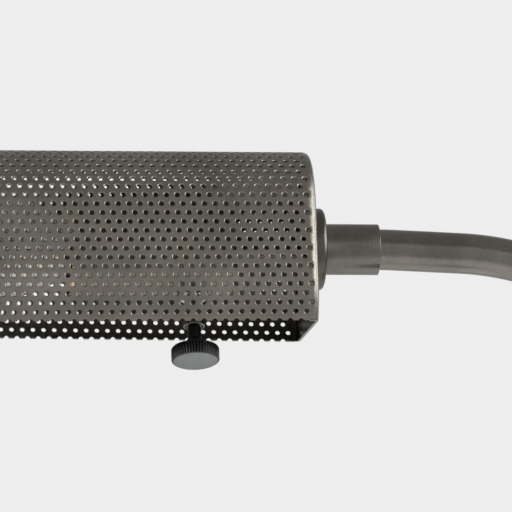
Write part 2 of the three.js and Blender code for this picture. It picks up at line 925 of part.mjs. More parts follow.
const lamp = new THREE.Group();
lamp.add(
  upperGroup,
  piece('post_collar', postCollar(), paleGunmetal),
  piece('post_stud', postStud(), plainSteel),
  piece('post_washer', postWasher(), plainSteel),
  piece('post_nut', postNut(), plainSteel),
  piece('base_cover', baseCover(), gunmetal),
  piece('base_weight', baseWeight(), castIron),
  piece('base_pad', basePad(), felt),
  piece('cord_grommet', cordGrommet(), rubber),
);

export default lamp;
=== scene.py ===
import math

import bmesh
import bpy
from mathutils import Matrix, Vector


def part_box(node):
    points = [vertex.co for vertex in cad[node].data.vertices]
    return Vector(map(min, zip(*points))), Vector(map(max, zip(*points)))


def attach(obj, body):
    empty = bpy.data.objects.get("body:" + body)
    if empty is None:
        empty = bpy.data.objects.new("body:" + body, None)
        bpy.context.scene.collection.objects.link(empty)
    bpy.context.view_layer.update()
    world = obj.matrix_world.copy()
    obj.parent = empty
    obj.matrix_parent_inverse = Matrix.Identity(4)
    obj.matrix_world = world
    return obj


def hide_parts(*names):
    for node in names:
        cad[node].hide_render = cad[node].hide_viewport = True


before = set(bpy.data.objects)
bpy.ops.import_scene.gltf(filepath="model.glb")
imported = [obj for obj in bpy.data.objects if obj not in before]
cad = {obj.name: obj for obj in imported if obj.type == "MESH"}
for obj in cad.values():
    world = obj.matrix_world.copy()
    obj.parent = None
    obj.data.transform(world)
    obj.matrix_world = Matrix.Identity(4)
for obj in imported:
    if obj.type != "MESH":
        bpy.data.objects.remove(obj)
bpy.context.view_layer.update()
scene = bpy.context.scene

# Sizes are in millimetres unless a name says otherwise. MM turns them into metres.
MM = 0.001

# Shade section: a round crown runs into flat sides, and each side into a hem that turns in.
SHADE_LENGTH = 229
CROWN_RADIUS = 33.5
FLAT_RUN = 33.4
HEM_RADIUS = 40
SPRING_ANGLE = math.radians(11.7)
CROWN_HEIGHT = 45.3
MOUTH_DEPTH = 38.4
SHEET_WALL = 1.0

# The thin sheet is a little out of true: it twists up to TWIST_RUN, then eases and turns
# back by the outer cap.
TWIST = math.radians(1.35) / 100
TWIST_RUN, TWIST_EASE = 155, 12

# Punched holes: staggered rows, the first and last of them cut in half by the mouth's edges.
# The pattern leans by one hole over the arch.
HOLE_PITCH = 5.0
HOLE_RADIUS = 1.05
HOLE_SIDES = 12
HOLE_ROLL = 0.5
ROW_COUNT = 48
PATTERN_START = -0.8
PATTERN_LEAN = 0.0222
SHEET_MARGIN = 1.4
HUB_STEP, OUTER_STEP = -4, 96

# The normals of a hole's rolled edge lean this far from the sheet's face to the hole's wall.
ROLL_START, ROLL_END = 0.35, 1.3

# Over the crown and down the back the pattern drifts a little to the hub, as pairs of a
# distance along the arch and the drift there.
PATTERN_DRIFT = ((84, 0), (106, 2.1), (122, 2.4), (136, 1.3), (152, 1.35), (186, 0.83), (202, 0))

CAP_WALL = 1.2
CAP_ROUND = 3.2
CAP_FILLET = 1.5
CAP_FLANGE = 4.5
CAP_SEAM = 0.2
FIT = 0.3

# Bores that clear the nipple through the hub, and the switch's bush.
NIPPLE_BORE = 5.1
BUSH_BORE = 4.3

HUB_DISC_RADIUS, HUB_DISC_END, HUB_DISC_ROUND = 19.05, 6.8, 2
SLEEVE_START, SLEEVE_END, SLEEVE_RADIUS = 7.1, 32.5, 11.85
SLEEVE_FLOOR = 4
SET_SCREW_PLACE, SET_SCREW_HOLE = 26.25, 1.8

TUBE_RADIUS, TUBE_WALL = 9.525, 1.2
TUBE_START, TUBE_FOOT = 20.0, 17.1
DROOP = math.radians(2.5)
DROOP_RADIUS, DROOP_RUN, BEND_RADIUS = 200, 30, 140

HUSK_START, HUSK_END, HUSK_RADIUS, HUSK_WALL, HUSK_ROUND = 35, 112, 22.5, 0.8, 4
SWITCH_PLACE, SWITCH_LEAN = 55, math.radians(15)
KNOB_RADIUS, KNOB_START, KNOB_END = 11.15, 50.0, 56.7
KNURLS, KNURL_DEPTH = 50, 0.6

THREAD_PITCH = 3.63
BULB_START = 76.7
BULB_RADIUS, BULB_LENGTH, NECK_RADIUS = 24, 89, 12.3
NECK_START, FLARE_START = 21, 26.5
GLASS_WALL = 0.8
COIL_REACH, COIL_RADIUS, COIL_HEIGHT, COIL_TURNS = 8.5, 0.35, 64, 40

BASE_RADIUS, BASE_TOP, BASE_ROUND, BASE_WALL = 101.5, 16.8, 6, 1.2
STUD_BORE = 5.3
INLET_HEIGHT, INLET_HOLE = 8.4, 5


def axes(origin, along, across):
    """A place whose Z runs along one direction and whose X runs across it."""
    along, across = Vector(along).normalized(), Vector(across).normalized()
    turn = Matrix((across, along.cross(across), along)).transposed().to_4x4()
    return Matrix.Translation(origin) @ turn


hub_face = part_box("hub_end_cap")[1].x
axis_height = (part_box("arm_sleeve")[0].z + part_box("arm_sleeve")[1].z) / 2
hub_point = Vector((hub_face, 0, axis_height))
hub_place = axes(hub_point, (1, 0, 0), (0, 1, 0))
holder_place = axes(hub_point, (-1, 0, 0), (0, 0, 1))
switch_place = axes(
    hub_point - Vector((SWITCH_PLACE * MM, 0, 0)),
    (0, -math.sin(SWITCH_LEAN), -math.cos(SWITCH_LEAN)),
    (-1, 0, 0),
)
bulb_place = axes(hub_point - Vector((BULB_START * MM, 0, 0)), (-1, 0, 0), (0, 0, 1))
base_place = Matrix.Identity(4)
inlet_place = axes(Vector((0, 0, INLET_HEIGHT * MM)), (1, 0, 0), (0, 1, 0))


# Meshes

# Edges that turn by more degrees than this look sharp.
SHARP = 30


def mesh_object(name, points, faces, place, sharp=SHARP):
    mesh = bpy.data.meshes.new(name)
    mesh.from_pydata([place @ (Vector(p) * MM) for p in points], [], faces)
    shaped = bmesh.new()
    shaped.from_mesh(mesh)
    bmesh.ops.recalc_face_normals(shaped, faces=shaped.faces)
    shaped.to_mesh(mesh)
    shaped.free()
    mesh.shade_smooth()
    mesh.set_sharp_from_angle(angle=math.radians(sharp))
    made = bpy.data.objects.new(name, mesh)
    scene.collection.objects.link(made)
    return made


def dress(made, body, slot_name, material, *replaced):
    """Gives a piece its material, the body it rides on and the CAD nodes it stands for."""
    made.data.materials.clear()
    made.data.materials.append(material)
    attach(made, body)
    if replaced:
        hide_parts(*replaced)


def mark_painted_shade(made, values):
    """Says for each point how much painted shade it takes: the darker inside colour of its metal.
    """
    made.data.attributes.new("inside", "FLOAT", "POINT").data.foreach_set("value", values)


def lathe(profile, segments, ring=True, shape=None):
    """A profile of (radius, height) turned round Z. A ring's profile closes on itself."""
    points, faces, rows = [], [], []
    for radius, height in profile:
        if radius < 1e-6:
            rows.append([len(points)] * segments)
            points.append((0, 0, height))
            continue
        rows.append(list(range(len(points), len(points) + segments)))
        for i in range(segments):
            angle = 2 * math.pi * i / segments
            reach = shape(radius, height, angle) if shape else radius
            points.append((reach * math.cos(angle), reach * math.sin(angle), height))
    pairs = list(zip(rows, rows[1:]))
    if ring:
        pairs.append((rows[-1], rows[0]))
    for low, high in pairs:
        for i in range(segments):
            j = (i + 1) % segments
            corners = [low[i], low[j], high[j], high[i]]
            corners = [c for n, c in enumerate(corners) if c != corners[n - 1]]
            if len(corners) > 2:
                faces.append(corners)
    return points, faces


def arc(radius_centre, height_centre, radius, start, end, steps=6):
    """Points of a round edge in a profile, from one angle to another, in degrees."""
    found = []
    for i in range(steps + 1):
        angle = math.radians(start + (end - start) * i / steps)
        found.append(
            (radius_centre + radius * math.cos(angle), height_centre + radius * math.sin(angle))
        )
    return found


def steps_between(low, high, count):
    return [low + (high - low) * i / count for i in range(count + 1)]


def drill(made, radius, low, high, place):
    """Cuts a round hole through a piece."""
    tool = mesh_object(
        "drill", *lathe([(0, low), (radius, low), (radius, high), (0, high)], 48, False), place
    )
    hole = made.modifiers.new("hole", "BOOLEAN")
    hole.object = tool
    hole.solver = "EXACT"
    bpy.context.view_layer.update()
    graph = bpy.context.evaluated_depsgraph_get()
    cut = bpy.data.meshes.new_from_object(made.evaluated_get(graph))
    made.modifiers.clear()
    made.data = cut
    cut.set_sharp_from_angle(angle=math.radians(SHARP))
    bpy.data.objects.remove(tool)


def hex_nut(across, bore, low, high, segments=72):
    """A nut with chamfered corners. A corner lies on the place's X axis."""
    flat = across / 2
    inner = flat * 0.97

    def reach(angle):
        turn = (angle + math.pi / 6) % (math.pi / 3) - math.pi / 6
        return flat / math.cos(math.pi / 6 - abs(turn))

    points, faces, rows = [], [], []
    slope = math.tan(math.radians(25))
    for kind in range(8):
        rows.append(list(range(len(points), len(points) + segments)))
        for i in range(segments):
            angle = 2 * math.pi * i / segments
            drop = max(0, reach(angle) - inner) * slope
            radius, height = [
                (bore, low + FIT),
                (bore + FIT, low),
                (inner, low),
                (reach(angle), low + drop),
                (reach(angle), high - drop),
                (inner, high),
                (bore + FIT, high),
                (bore, high - FIT),
            ][kind]
            points.append((radius * math.cos(angle), radius * math.sin(angle), height))
    for low_row, high_row in zip(rows, rows[1:] + rows[:1]):
        for i in range(segments):
            j = (i + 1) % segments
            faces.append([low_row[i], low_row[j], high_row[j], high_row[i]])
    return points, faces


# Materials


def add(tree, kind, inputs=None, **settings):
    made = tree.nodes.new("ShaderNode" + kind)
    for key, value in settings.items():
        setattr(made, key, value)
    for key, value in (inputs or {}).items():
        if isinstance(value, bpy.types.NodeSocket):
            tree.links.new(value, made.inputs[key])
        else:
            made.inputs[key].default_value = value
    return made


def mixed(tree, factor, first, second):
    """The colour between two colours."""
    made = add(tree, "Mix", data_type="RGBA")
    for index, value in ((0, factor), (6, first), (7, second)):
        if isinstance(value, bpy.types.NodeSocket):
            tree.links.new(value, made.inputs[index])
        else:
            made.inputs[index].default_value = value
    return made.outputs[2]


def noise(tree, vector, scale, detail=3.0, rough=0.5):
    inputs = {"Vector": vector, "Scale": scale, "Detail": detail, "Roughness": rough}
    return add(tree, "TexNoise", inputs).outputs["Fac"]


def ranged(tree, value, low, high, from_low=0.3, from_high=0.7):
    inputs = {"Value": value, "From Min": from_low, "From Max": from_high}
    return add(tree, "MapRange", {**inputs, "To Min": low, "To Max": high}).outputs["Result"]


def bumped(tree, height, strength, distance):
    made = add(tree, "Bump", {"Height": height, "Strength": strength, "Distance": distance})
    return made.outputs["Normal"]


def rgba(colour):
    return (*colour, 1.0)


def start_material(name, attribute=None):
    material = bpy.data.materials.new(name)
    material.use_nodes = True
    tree = material.node_tree
    tree.nodes.clear()
    if attribute:
        vector = add(tree, "Attribute", attribute_name=attribute).outputs["Vector"]
    else:
        vector = add(tree, "TexCoord").outputs["Object"]
    return material, tree, vector


def end_material(tree, shader):
    output = add(tree, "OutputMaterial")
    tree.links.new(shader.outputs[0], output.inputs["Surface"])


def metal(name, pale, deep, rough, stretch, relief=0.12, attribute=None, tint=None, inside=None):
    """A satin metal: cloudy colour, fine mottling, and brushing drawn out by stretch. An inside
    colour is painted shade on the points that carry the inside attribute.
    """
    material, tree, vector = start_material(name, attribute)
    drawn = add(tree, "Mapping", {"Vector": vector, "Scale": stretch}).outputs["Vector"]
    cloud = noise(tree, vector, 34.0, 4.0, 0.55)
    mottle = noise(tree, vector, 520.0, 3.0, 0.6)
    brush = noise(tree, drawn, 1.0, 2.0, 0.6)
    colour = mixed(tree, ranged(tree, cloud, 0.0, 1.0, 0.36, 0.64), rgba(pale), rgba(deep))
    if tint:
        patch = noise(tree, vector, 61.0, 2.0, 0.5)
        colour = mixed(tree, ranged(tree, patch, 0.0, 0.55, 0.52, 0.72), colour, rgba(tint))
    shade = mixed(tree, ranged(tree, mottle, 0.0, 0.3), colour, rgba([c * 0.6 for c in deep]))
    shine = ranged(tree, brush, rough - 0.07, rough + 0.07)
    # Painted shade: points marked with the inside attribute take the darker inside colour.
    if inside:
        painted_shade = add(tree, "Attribute", attribute_name="inside").outputs["Fac"]
        shade = mixed(tree, painted_shade, shade, rgba(inside))
    normal = bumped(tree, brush, relief, 0.00008)
    normal_fine = add(
        tree, "Bump", {"Height": mottle, "Strength": relief, "Distance": 0.00006, "Normal": normal}
    ).outputs["Normal"]
    shader = add(
        tree,
        "BsdfPrincipled",
        {"Base Color": shade, "Metallic": 1.0, "Roughness": shine, "Normal": normal_fine},
    )
    end_material(tree, shader)
    return material


def plain(name, pale, deep, rough, scale, relief, spread=0.06, coat=0.0, sheen=0.0):
    """A surface that isn't metal: two tones in a grain of the given scale."""
    material, tree, vector = start_material(name)
    grain = noise(tree, vector, scale, 4.0, 0.6)
    cloud = noise(tree, vector, scale / 14, 3.0, 0.5)
    colour = mixed(tree, ranged(tree, grain, 0.0, 1.0), rgba(pale), rgba(deep))
    toned = mixed(tree, ranged(tree, cloud, 0.0, 0.35), colour, rgba([c * 0.8 for c in deep]))
    shine = ranged(tree, cloud, rough - spread, rough + spread)
    normal = bumped(tree, grain, relief, 0.0002)
    shader = add(
        tree,
        "BsdfPrincipled",
        {
            "Base Color": toned,
            "Roughness": shine,
            "Normal": normal,
            "Coat Weight": coat,
            "Coat Roughness": 0.08,
            "Sheen Weight": sheen,
        },
    )
    end_material(tree, shader)
    return material


def glass(name, tint, rough):
    material, tree, vector = start_material(name)
    wave = noise(tree, vector, 45.0, 2.0, 0.4)
    normal = bumped(tree, wave, 0.1, 0.0004)
    haze = ranged(tree, noise(tree, vector, 160.0, 2.0, 0.5), rough, rough + 0.02)
    shader = add(
        tree,
        "BsdfPrincipled",
        {
            "Base Color": rgba(tint),
            "Roughness": haze,
            "IOR": 1.48,
            "Transmission Weight": 1.0,
            "Normal": normal,
        },
    )
    end_material(tree, shader)
    return material


# How the brushing of a metal is drawn out: noise scales per axis, in cycles per metre.
along_x = (60, 2400, 2400)
around_x = (2400, 60, 60)
around_z = (60, 60, 2400)
even = (1200, 1200, 1200)

# The inside colour is painted shade on the sheet's inner face, fading in down the walls of its
# holes.
shade_metal = metal(
    "shade_metal", (0.212, 0.196, 0.171), (0.163, 0.151, 0.132), 0.36, along_x, 0.18,
    tint=(0.20, 0.175, 0.14), inside=(0.15, 0.142, 0.13),
)
# The inside colour is painted shade on the caps' inner faces and on the flanges under the sheet.
cap_metal = metal(
    "cap_metal", (0.25, 0.243, 0.23), (0.20, 0.193, 0.18), 0.30, even, 0.10,
    inside=(0.15, 0.142, 0.13),
)
disc_metal = metal(
    "disc_metal", (0.105, 0.094, 0.082), (0.08, 0.072, 0.063), 0.30, around_x, 0.12,
    tint=(0.10, 0.08, 0.06),
)
sleeve_metal = metal(
    "sleeve_metal", (0.165, 0.154, 0.136), (0.125, 0.117, 0.103), 0.29, around_x, 0.06
)
tube_metal = metal(
    "tube_metal", (0.20, 0.187, 0.168), (0.145, 0.135, 0.121), 0.21, along_x, 0.08,
    attribute="grain",
)
husk_metal = metal("husk_metal", (0.20, 0.19, 0.17), (0.15, 0.14, 0.125), 0.36, around_x, 0.12)
base_metal = metal("base_metal", (0.165, 0.158, 0.147), (0.13, 0.124, 0.114), 0.43, even, 0.10)
collar_metal = metal(
    "collar_metal", (0.22, 0.213, 0.20), (0.175, 0.168, 0.156), 0.30, around_z, 0.12
)
# The inside colour is painted shade on the knob's knurled sides and neck.
knob_metal = metal(
    "knob_metal", (0.195, 0.203, 0.205), (0.165, 0.172, 0.174), 0.34, even, 0.10,
    inside=(0.06, 0.06, 0.06),
)
bush_metal = metal("bush_metal", (0.09, 0.088, 0.085), (0.055, 0.054, 0.052), 0.38, even, 0.12)
rim_metal = metal("rim_metal", (0.20, 0.196, 0.19), (0.12, 0.118, 0.114), 0.30, even, 0.10)
steel = metal("steel", (0.55, 0.55, 0.54), (0.40, 0.40, 0.39), 0.32, even, 0.10)
brass = metal(
    "brass", (0.62, 0.44, 0.20), (0.45, 0.31, 0.13), 0.28, around_x, 0.10, tint=(0.36, 0.24, 0.11)
)
aged_brass = metal(
    "aged_brass", (0.10, 0.082, 0.05), (0.06, 0.05, 0.034), 0.36, around_x, 0.10,
    tint=(0.12, 0.085, 0.045),
)
dark_steel = metal("dark_steel", (0.085, 0.083, 0.08), (0.055, 0.054, 0.052), 0.36, around_x, 0.10)
filament_metal = metal("filament_metal", (0.32, 0.32, 0.33), (0.22, 0.22, 0.23), 0.4, even, 0.05)
phenolic = plain("phenolic", (0.035, 0.03, 0.027), (0.02, 0.018, 0.016), 0.42, 900, 0.1, coat=0.15)
porcelain = plain("porcelain", (0.82, 0.79, 0.72), (0.74, 0.71, 0.64), 0.22, 260, 0.08, coat=0.6)
cast_iron = plain("cast_iron", (0.05, 0.052, 0.056), (0.026, 0.028, 0.03), 0.62, 700, 0.6)
felt = plain(
    "felt", (0.030, 0.030, 0.026), (0.010, 0.010, 0.009), 0.95, 1600, 0.9, 0.03, sheen=0.4
)
rubber = plain("rubber", (0.028, 0.028, 0.028), (0.016, 0.016, 0.016), 0.6, 1100, 0.25)
clear_glass = glass("clear_glass", (0.95, 0.965, 0.965), 0.10)
stem_glass = glass("stem_glass", (0.93, 0.96, 0.96), 0.02)


# Shade sheet

SPRING_COS, SPRING_SIN = math.cos(SPRING_ANGLE), math.sin(SPRING_ANGLE)
CROWN_CENTRE = CROWN_HEIGHT - CROWN_RADIUS
HEM_CENTRE_Y = (CROWN_RADIUS - HEM_RADIUS) * SPRING_COS + FLAT_RUN * SPRING_SIN
HEM_CENTRE_Z = CROWN_CENTRE + (CROWN_RADIUS - HEM_RADIUS) * SPRING_SIN - FLAT_RUN * SPRING_COS
MOUTH_ANGLE = math.asin((-MOUTH_DEPTH - HEM_CENTRE_Z) / HEM_RADIUS)
HEM_RUN = HEM_RADIUS * (SPRING_ANGLE - MOUTH_ANGLE)
CROWN_RUN = CROWN_RADIUS * (math.pi - 2 * SPRING_ANGLE)
ARCH_RUN = 2 * (HEM_RUN + FLAT_RUN) + CROWN_RUN
ROW_PITCH = ARCH_RUN / ROW_COUNT

# A twelve-sided hole with the round hole's area has its corners this far out.
HOLE_REACH = HOLE_RADIUS * math.sqrt(math.pi / 3)


def arch_at(run, inset):
    """(y, z) and the outward normal of the arch, a distance along it from the front mouth edge."""
    back = run > ARCH_RUN / 2
    near = ARCH_RUN - run if back else run
    past_hem = near - HEM_RUN
    if past_hem < FLAT_RUN:
        angle = min(SPRING_ANGLE, MOUTH_ANGLE + near / HEM_RADIUS)
        rise = max(0, past_hem)
        y = HEM_CENTRE_Y + (HEM_RADIUS - inset) * math.cos(angle) - rise * SPRING_SIN
        z = HEM_CENTRE_Z + (HEM_RADIUS - inset) * math.sin(angle) + rise * SPRING_COS
    else:
        angle = SPRING_ANGLE + (past_hem - FLAT_RUN) / CROWN_RADIUS
        y = (CROWN_RADIUS - inset) * math.cos(angle)
        z = CROWN_CENTRE + (CROWN_RADIUS - inset) * math.sin(angle)
    side = 1 if back else -1
    return side * y, z, side * math.cos(angle), math.sin(angle)


def twist_at(x):
    """The turn of the sheet about the arm's axis."""
    run = max(0, -x)
    if run < TWIST_RUN:
        return TWIST * run
    share = min(1, (run - TWIST_RUN) / (SHADE_LENGTH - SHEET_MARGIN - TWIST_RUN))
    return TWIST * (TWIST_RUN + TWIST_EASE * share) * (1 - share * share * (3 - 2 * share))


def step_at(step, run):
    """X of a step of the pattern, a distance along the arch."""
    drift = 0
    for (start, low), (end, high) in zip(PATTERN_DRIFT, PATTERN_DRIFT[1:]):
        if start < run <= end:
            drift = low + (high - low) * (run - start) / (end - start)
    return PATTERN_START - HOLE_PITCH / 2 * step - PATTERN_LEAN * run + drift


def end_round(x):
    """How far the rounded end draws the surface in, and the normal's turn towards the end."""
    beyond = max(0, x + CAP_ROUND, -SHADE_LENGTH + CAP_ROUND - x)
    way = 1 if x > -SHADE_LENGTH / 2 else -1
    return CAP_ROUND - math.sqrt(CAP_ROUND**2 - beyond**2), way * beyond / CAP_ROUND


class Sheet:
    """The punched sheet, built cell by cell, with a normal for each face corner."""

    def __init__(self):
        self.points, self.faces, self.normals, self.inside, self.grid = [], [], [], [], {}

    def point(self, x, run, depth):
        """A point at a depth under the outer surface; depth None is the inner surface."""
        inset, turn = end_round(x)
        y, z, ny, nz = arch_at(run, SHEET_WALL if depth is None else inset + depth)
        lean = Matrix.Rotation(twist_at(x), 2)
        y, z = lean @ Vector((y, z))
        ny, nz = lean @ Vector((ny, nz))
        self.points.append((x, y, z))
        # Points on the inner surface take the painted shade of the inside colour.
        self.inside.append(1.0 if depth is None else 0.0)
        flat = math.sqrt(1 - turn * turn)
        normal = Vector((0, -ny, -nz)) if depth is None else Vector((turn, flat * ny, flat * nz))
        return len(self.points) - 1, normal

    def corner(self, step, line, inner):
        """A corner of the cells. Steps at or past the sheet's end give the point on the end."""
        run = min(ARCH_RUN, max(0, (line - 0.5) * ROW_PITCH))
        x = step_at(step, run)
        if x > -SHEET_MARGIN - FIT:
            x, step = -SHEET_MARGIN, HUB_STEP
        elif x < SHEET_MARGIN - SHADE_LENGTH + FIT:
            x, step = SHEET_MARGIN - SHADE_LENGTH, OUTER_STEP
        key = (step, line, inner)
        if key not in self.grid:
            self.grid[key] = self.point(x, run, None if inner else 0)
        return self.grid[key]

    def face(self, *corners):
        self.faces.append([index for index, _ in corners])
        self.normals.extend(normal for _, normal in corners)

    def flat(self, *corners):
        a, b, c = (Vector(self.points[corners[i][0]]) for i in range(3))
        normal = (b - a).cross(c - a).normalized()
        self.face(*((index, normal) for index, _ in corners))

    def patch(self, first, last, row):
        """Plain sheet between two steps of a row, on both faces."""
        for inner in (False, True):
            loop = [self.corner(step, row + 1, inner) for step in range(first, last + 1)]
            loop += [self.corner(step, row, inner) for step in range(last, first - 1, -1)]
            loop = [found for n, found in enumerate(loop) if found[0] != loop[n - 1][0]]
            if len(loop) > 2:
                self.face(*(reversed(loop) if inner else loop))

    def lip(self, first, last, line):
        """The sheet's thickness at the mouth, where no hole is."""
        for step in range(first, last):
            loop = [self.corner(step, line, inner) for inner in (False, True)]
            loop += [self.corner(step + 1, line, inner) for inner in (True, False)]
            if loop[0] != loop[3]:
                self.flat(*(loop if line else reversed(loop)))

    def hole(self, step, row):
        """One hole and the sheet round it. Edge rows hold half a hole."""
        run = row * ROW_PITCH
        x = step_at(step, run)
        half = HOLE_SIDES // 2
        first = half if row == ROW_COUNT else 0
        last = half if row == 0 else HOLE_SIDES
        rings = []
        depths = ((HOLE_REACH + HOLE_ROLL, 0), (HOLE_REACH, HOLE_ROLL), (HOLE_REACH, None))
        for reach, depth in depths:
            ring = {}
            for i in range(first, last + 1):
                turn = 2 * math.pi * (i % HOLE_SIDES) / HOLE_SIDES
                place = run + reach * math.sin(turn)
                found = self.point(x + reach * math.cos(turn), min(ARCH_RUN, max(0, place)), depth)
                ring[i] = found
                if last - first == HOLE_SIDES and i == HOLE_SIDES - 1:
                    ring[HOLE_SIDES] = ring[0]
                    break
            rings.append(ring)
        for i in range(first, last):
            self.around(rings, i, run)
        for inner in (False, True):
            self.web(step, row, rings[2] if inner else rings[0], inner, first, last)
        if last - first == half:
            self.cut_edge(step, row, rings, first, last)

    def around(self, rings, i, run):
        """The rolled edge and the wall of a hole, between two of its corners."""
        walls, highs, lows = [], [], []
        for k in (i, i + 1):
            turn = 2 * math.pi * k / HOLE_SIDES
            _, _, ny, nz = arch_at(run, 0)
            tangent = Vector((0, nz, -ny)) * math.sin(turn)
            wall = (Vector((-1, 0, 0)) * math.cos(turn) - tangent).normalized()
            walls.append(wall)
            highs.append((Vector((0, ny, nz)) + wall * ROLL_START).normalized())
            lows.append((Vector((0, ny, nz)) + wall * ROLL_END).normalized())
        top, middle, bottom = rings
        self.face(
            (top[i][0], highs[0]),
            (top[i + 1][0], highs[1]),
            (middle[i + 1][0], lows[1]),
            (middle[i][0], lows[0]),
        )
        self.face(
            (middle[i][0], walls[0]),
            (middle[i + 1][0], walls[1]),
            (bottom[i + 1][0], walls[1]),
            (bottom[i][0], walls[0]),
        )

    def web(self, step, row, ring, inner, first, last):
        """The sheet between a twelve-sided hole and its cell's edge, in triangles."""
        low, high = row, row + 1
        names = {
            "br": self.corner(step - 1, low, inner),
            "bl": self.corner(step + 1, low, inner),
            "tr": self.corner(step - 1, high, inner),
            "tl": self.corner(step + 1, high, inner),
        }
        triangles = []
        if first == 0:
            names["t"] = self.corner(step, high, inner)
            triangles += [
                ("tr", 1, 0), ("tr", 2, 1), ("tr", "t", 2), ("t", 3, 2),
                ("t", 4, 3), ("t", "tl", 4), ("tl", 5, 4), ("tl", 6, 5),
            ]
        if last == HOLE_SIDES:
            names["b"] = self.corner(step, low, inner)
            triangles += [
                ("bl", 7, 6), ("bl", 8, 7), ("bl", "b", 8), ("b", 9, 8),
                ("b", 10, 9), ("b", "br", 10), ("br", 11, 10), ("br", 12, 11),
            ]
        triangles += [("br", "tr", 0 if first == 0 else HOLE_SIDES), ("tl", "bl", 6)]
        for triangle in triangles:
            found = [names[c] if isinstance(c, str) else ring[c] for c in triangle]
            self.face(*(reversed(found) if inner else found))

    def cut_edge(self, step, row, rings, first, last):
        """The sheet's thickness at the mouth, on both sides of a half hole."""
        side = row if row == 0 else row + 1
        top, middle, bottom = rings
        ends = {0: step - 1, HOLE_SIDES: step - 1, HOLE_SIDES // 2: step + 1}
        for i in (first, last):
            outer, inner = self.corner(ends[i], side, False), self.corner(ends[i], side, True)
            loop = [outer, top[i], middle[i], bottom[i], inner]
            away = (row == 0) == (ends[i] < step)
            self.flat(*(loop if away else reversed(loop)))

    def build(self):
        clear = SHEET_MARGIN + HOLE_REACH + HOLE_ROLL
        for row in range(ROW_COUNT + 1):
            steps = []
            for step in range(HUB_STEP, OUTER_STEP + 1):
                reach = -step_at(step, row * ROW_PITCH)
                if (step + row) % 2 and clear < reach < SHADE_LENGTH - clear:
                    steps.append(step)
            for step in steps:
                self.hole(step, row)
            for first, last in ((HUB_STEP, steps[0] - 1), (steps[-1] + 1, OUTER_STEP)):
                self.patch(first, last, row)
                if row == 0:
                    self.lip(first, last, 0)
                if row == ROW_COUNT:
                    self.lip(first, last, ROW_COUNT + 1)
            for step in (HUB_STEP, OUTER_STEP):
                loop = [self.corner(step, row, inner) for inner in (False, True)]
                loop += [self.corner(step, row + 1, inner) for inner in (True, False)]
                self.flat(*(loop if step == HUB_STEP else reversed(loop)))
        place = Matrix.Translation(hub_point)
        mesh = bpy.data.meshes.new("shade_sheet")
        mesh.from_pydata([place @ (Vector(p) * MM) for p in self.points], [], self.faces)
        mesh.shade_smooth()
        mesh.normals_split_custom_set(self.normals)
        made = bpy.data.objects.new("shade_sheet", mesh)
        mark_painted_shade(made, self.inside)
        scene.collection.objects.link(made)
        return made


dress(Sheet().build(), "head", "shade_metal", shade_metal, "shade_shell")


# Shade end caps


def arch_ring(inset, hem=16, crown=64):
    """(y, z) points of the arch drawn in by inset, from the front mouth edge to the back one."""
    radius = HEM_RADIUS - inset
    low = math.asin((-MOUTH_DEPTH - HEM_CENTRE_Z) / radius)
    front = []
    for angle in steps_between(low, SPRING_ANGLE, hem):
        y = -HEM_CENTRE_Y - radius * math.cos(angle)
        front.append((y, HEM_CENTRE_Z + radius * math.sin(angle)))
    radius = CROWN_RADIUS - inset
    top = []
    for angle in steps_between(SPRING_ANGLE, math.pi - SPRING_ANGLE, crown):
        top.append((-radius * math.cos(angle), CROWN_CENTRE + radius * math.sin(angle)))
    return front + top + [(-y, z) for y, z in reversed(front)]


